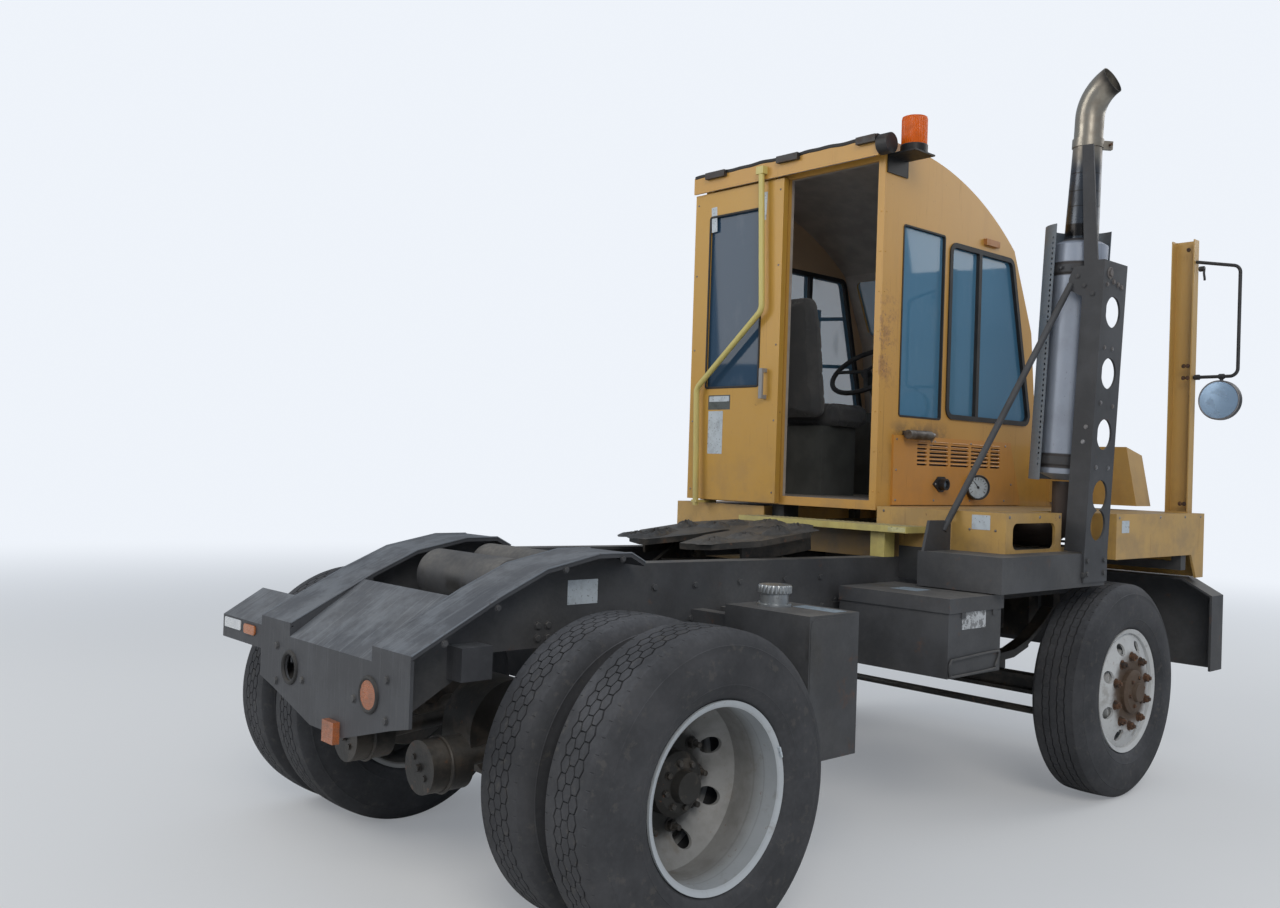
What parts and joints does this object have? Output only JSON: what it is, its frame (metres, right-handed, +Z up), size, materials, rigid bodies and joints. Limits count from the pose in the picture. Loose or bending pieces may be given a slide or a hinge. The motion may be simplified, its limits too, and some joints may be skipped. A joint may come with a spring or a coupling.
{
  "type": "terminal tractor",
  "caption": "Short yard tractor with a high offset side cab, sliding rear door, outboard exhaust, dual rear tyres and a lifting fifth wheel.",
  "frame": {"origin": "on the ground under the middle of the vehicle", "axes": "+X is forward, +Y is left, +Z is up"},
  "size_m": [4.69, 2.64, 3.4908],
  "materials": {
    "yellow_paint": "worn",
    "pale_yellow": "worn",
    "black_frame": "dirty",
    "dusty_steel": "dusty",
    "greasy_steel": "greasy",
    "bare_rod": "polished",
    "tyre": "dusty",
    "wheel_paint": "dusty",
    "greasy_wheel": "greasy",
    "muffler_steel": "stained",
    "glass": "tinted",
    "black_rubber": "matt",
    "lamp_lens": "gloss",
    "seat_fabric": "worn",
    "black_plastic": "matt"
  },
  "bodies": {
    "chassis": {"frame_rails": "black_frame", "crossmembers": "black_frame", "frame_brackets": "black_frame", "pickup_ramps": "dusty_steel", "tail_deck": "dusty_steel", "lamps": "lamp_lens", "air_tanks": "black_frame", "rear_axle": "greasy_steel", "front_axle": "greasy_steel", "powertrain": "greasy_steel", "oil_tank": "black_frame", "battery_box": "black_frame", "fuel_tank": "black_frame", "outrigger": "black_frame", "deck_right": "yellow_paint", "fender_right": "yellow_paint", "fender_left": "yellow_paint", "front_bumper": "black_frame", "grille": "black_frame", "mirror_right": "black_plastic", "exhaust_post": "black_frame", "muffler": "muffler_steel", "exhaust_pipes": "muffler_steel", "heat_shield": "muffler_steel", "step": "pale_yellow"},
    "cab": {"cab_floor": "yellow_paint", "cab_walls": "yellow_paint", "cab_roof": "yellow_paint", "cab_front": "yellow_paint", "cab_nose": "yellow_paint", "window_frames": "black_rubber", "cab_glass": "glass", "hatch": "yellow_paint", "cab_interior": "black_plastic", "seat": "seat_fabric", "cab_fittings": "black_plastic", "grab_rail": "pale_yellow", "beacon": "lamp_lens", "mirror_left": "black_plastic"},
    "door": {"door": "yellow_paint", "door_glass": "glass"},
    "steering_wheel": {"steering_wheel": "black_plastic"},
    "tie_rod": {"tie_rod": "greasy_steel"},
    "boom": {"boom": "greasy_steel"},
    "fifth_wheel": {"fifth_wheel": "greasy_steel"},
    "lift_barrels": {"lift_barrels": "black_frame"},
    "lift_rods": {"lift_rods": "bare_rod"},
    "knuckle_left": {"knuckle_left": "greasy_steel"},
    "front_wheel_left": {"front_wheel_left": "wheel_paint", "front_tyre_left": "tyre"},
    "rear_wheels_left": {"rear_wheels_left": "greasy_wheel", "rear_tyres_left": "tyre"},
    "knuckle_right": {"knuckle_right": "greasy_steel"},
    "front_wheel_right": {"front_wheel_right": "wheel_paint", "front_tyre_right": "tyre"},
    "rear_wheels_right": {"rear_wheels_right": "greasy_wheel", "rear_tyres_right": "tyre"}
  },
  "joints": [
    {"name": "cab_tilt", "type": "hinge", "parent": "chassis", "child": "cab", "pos_m": [2.2225, 0, 1.32], "axis": [0, 1, 0], "range_deg": [0, 45]},
    {"name": "door_slide", "type": "slide", "parent": "cab", "child": "door", "axis": [0, -1, 0], "range_m": [0, 0.6]},
    {"name": "steering_wheel_turn", "type": "hinge", "parent": "cab", "child": "steering_wheel", "pos_m": [1.5125, 0.6, 2.135], "axis": [-0.6606, 0, 0.7507], "range_deg": [-690, 690]},
    {"name": "steer_left", "type": "hinge", "parent": "chassis", "child": "knuckle_left", "pos_m": [1.3685, 0.83, 0.52], "axis": [0, 0, 1], "range_deg": [-38, 38]},
    {"name": "steer_right", "type": "hinge", "parent": "chassis", "child": "knuckle_right", "pos_m": [1.3685, -0.83, 0.52], "axis": [0, 0, 1], "range_deg": [-38, 38]},
    {"name": "tie_rod_swing", "type": "hinge", "parent": "knuckle_left", "child": "tie_rod", "pos_m": [1.2085, 0.83, 0.369], "axis": [0, 0, 1], "range_deg": [-38, 38]},
    {"name": "front_wheel_left_spin", "type": "hinge", "parent": "knuckle_left", "child": "front_wheel_left", "pos_m": [1.3685, 0.999, 0.52], "axis": [0, 1, 0], "continuous": true},
    {"name": "rear_wheels_left_spin", "type": "hinge", "parent": "chassis", "child": "rear_wheels_left", "pos_m": [-1.5775, 0.904, 0.52], "axis": [0, 1, 0], "continuous": true},
    {"name": "front_wheel_right_spin", "type": "hinge", "parent": "knuckle_right", "child": "front_wheel_right", "pos_m": [1.3685, -0.999, 0.52], "axis": [0, 1, 0], "continuous": true},
    {"name": "rear_wheels_right_spin", "type": "hinge", "parent": "chassis", "child": "rear_wheels_right", "pos_m": [-1.5775, -0.904, 0.52], "axis": [0, 1, 0], "continuous": true},
    {"name": "boom_lift", "type": "hinge", "parent": "chassis", "child": "boom", "pos_m": [0.3725, 0, 1.02], "axis": [0, 1, 0], "range_deg": [0, 25]},
    {"name": "fifth_wheel_nod", "type": "hinge", "parent": "boom", "child": "fifth_wheel", "pos_m": [-0.3275, 0, 1.15], "axis": [0, 1, 0], "range_deg": [0, 14]},
    {"name": "lift_barrel_swing", "type": "hinge", "parent": "chassis", "child": "lift_barrels", "pos_m": [-0.0275, 0, 0.62], "axis": [0, 1, 0], "range_deg": [0, 21.19]},
    {"name": "lift_rod_slide", "type": "slide", "parent": "lift_barrels", "child": "lift_rods", "axis": [-0.6897, 0, 0.7241], "range_m": [0, 0.2418]}
  ],
  "couplings": [
    {"joint": "steer_right", "follows": "steer_left", "ratio": 1},
    {"joint": "tie_rod_swing", "follows": "steer_left", "ratio": -1},
    {"joint": "steering_wheel_turn", "follows": "steer_left", "ratio": 18},
    {"joint": "lift_barrel_swing", "follows": "boom_lift", "ratio": 0.8354},
    {"joint": "lift_rod_slide", "follows": "boom_lift", "m_per_rad": 0.54962}
  ]
}
